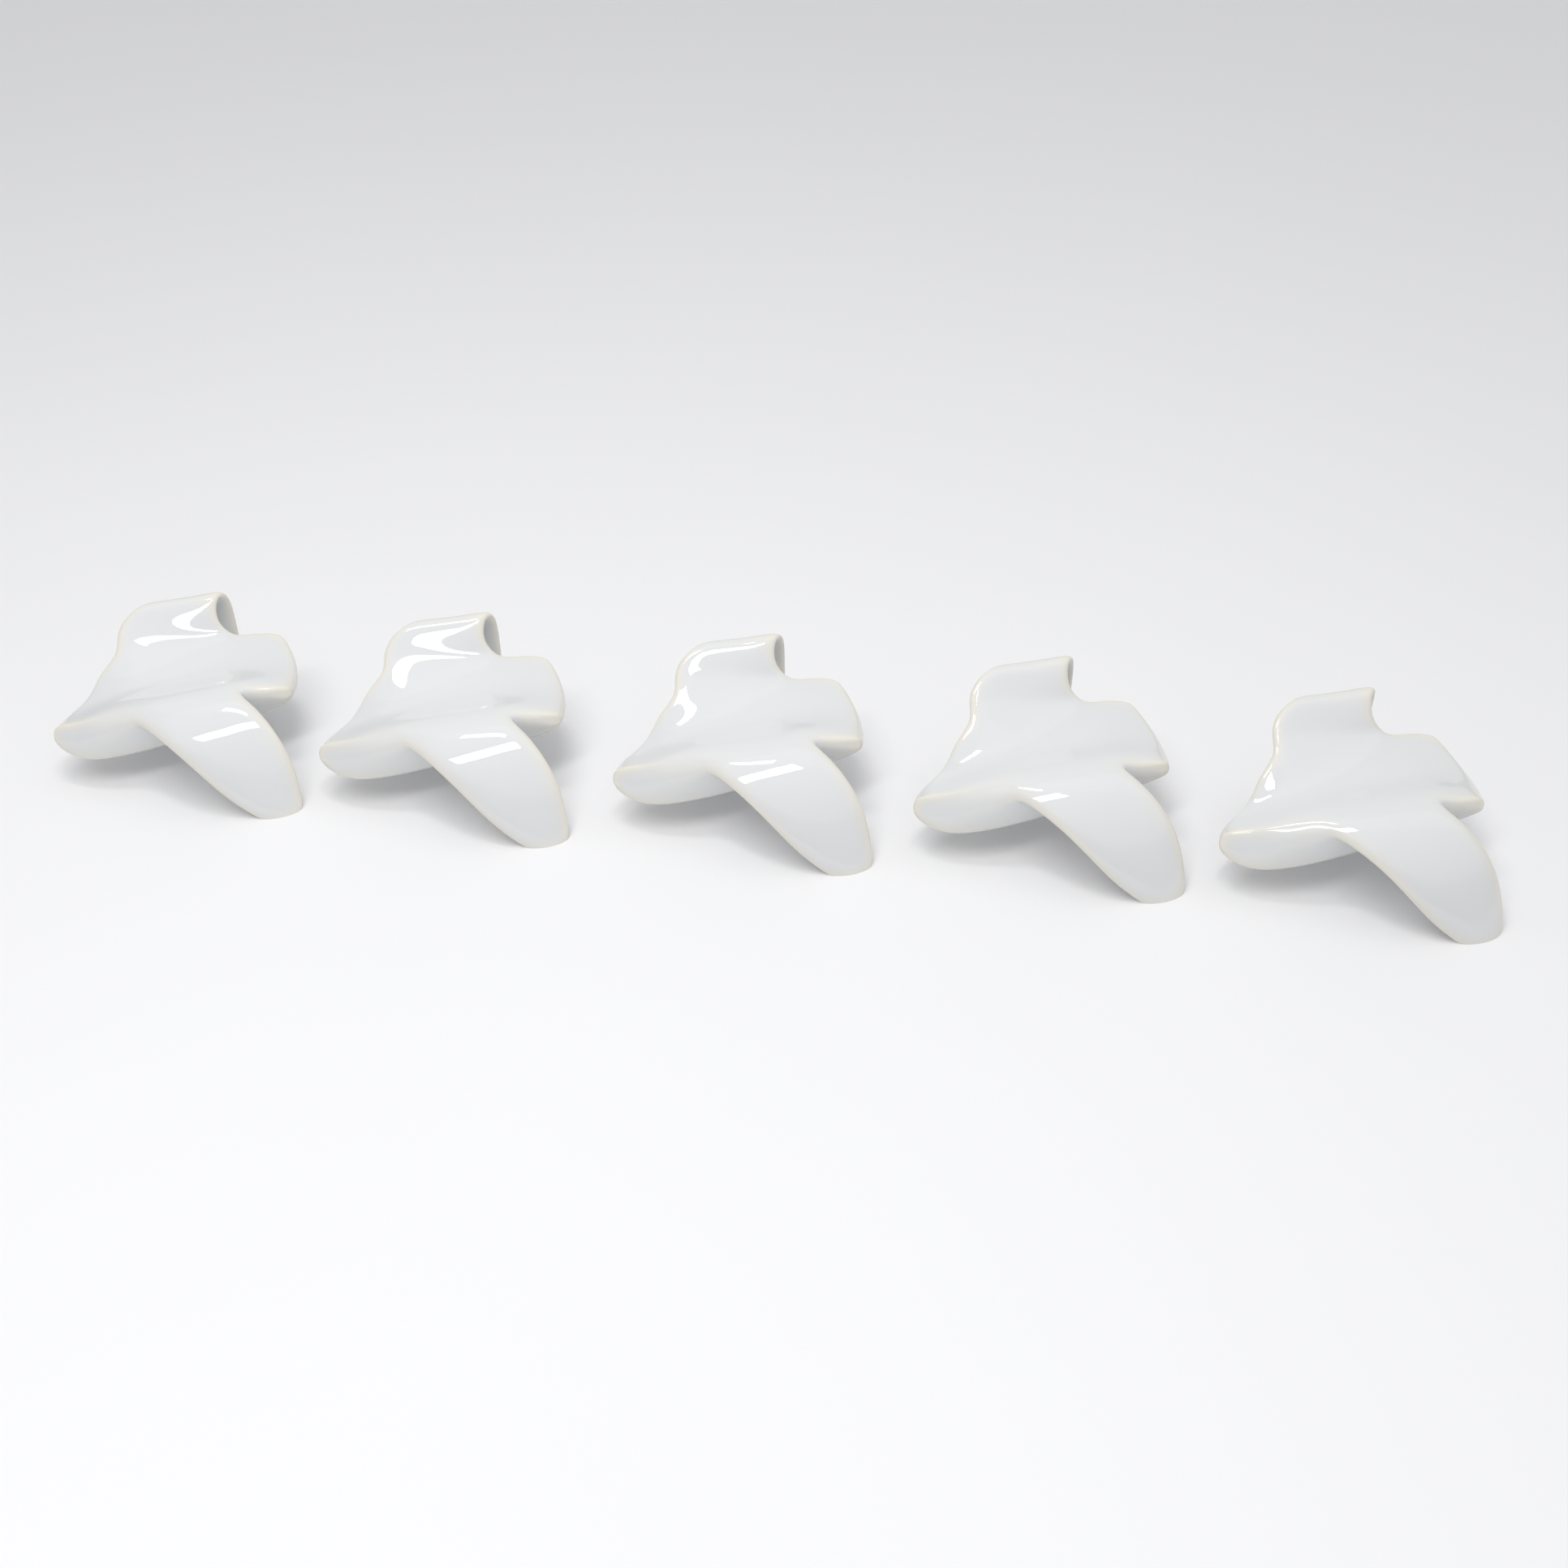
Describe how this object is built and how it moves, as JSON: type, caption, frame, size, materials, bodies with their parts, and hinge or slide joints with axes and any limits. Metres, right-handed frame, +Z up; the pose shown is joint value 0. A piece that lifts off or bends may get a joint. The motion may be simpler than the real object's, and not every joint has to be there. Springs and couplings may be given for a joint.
{
  "type": "porcelain rest set",
  "caption": "A row of loose white porcelain rests, each a bent sheet with a front leg, two wings over a round keel and a tab rolled back into a rear wall.",
  "frame": {"origin": "middle of the row's outline, on the ground under the pieces", "axes": "+X along the row from the first piece to the last, +Y from the legs towards the rear walls, +Z up"},
  "size_m": [0.5268, 0.0856, 0.0479],
  "materials": {
    "rest_1_porcelain": "glossy white glaze",
    "rest_2_porcelain": "glossy white glaze",
    "rest_3_porcelain": "glossy white glaze",
    "rest_4_porcelain": "glossy white glaze",
    "rest_5_porcelain": "glossy white glaze"
  },
  "bodies": {
    "rest_1": {"rest_1": "rest_1_porcelain"},
    "rest_2": {"rest_2": "rest_2_porcelain"},
    "rest_3": {"rest_3": "rest_3_porcelain"},
    "rest_4": {"rest_4": "rest_4_porcelain"},
    "rest_5": {"rest_5": "rest_5_porcelain"}
  },
  "joints": [
    {"name": "rest_1_lift", "type": "slide", "parent": "rest_3", "child": "rest_1", "axis": [0, 0, 1], "range_m": [0, 0.06]},
    {"name": "rest_2_lift", "type": "slide", "parent": "rest_3", "child": "rest_2", "axis": [0, 0, 1], "range_m": [0, 0.06]},
    {"name": "rest_4_lift", "type": "slide", "parent": "rest_3", "child": "rest_4", "axis": [0, 0, 1], "range_m": [0, 0.06]},
    {"name": "rest_5_lift", "type": "slide", "parent": "rest_3", "child": "rest_5", "axis": [0, 0, 1], "range_m": [0, 0.06]}
  ]
}
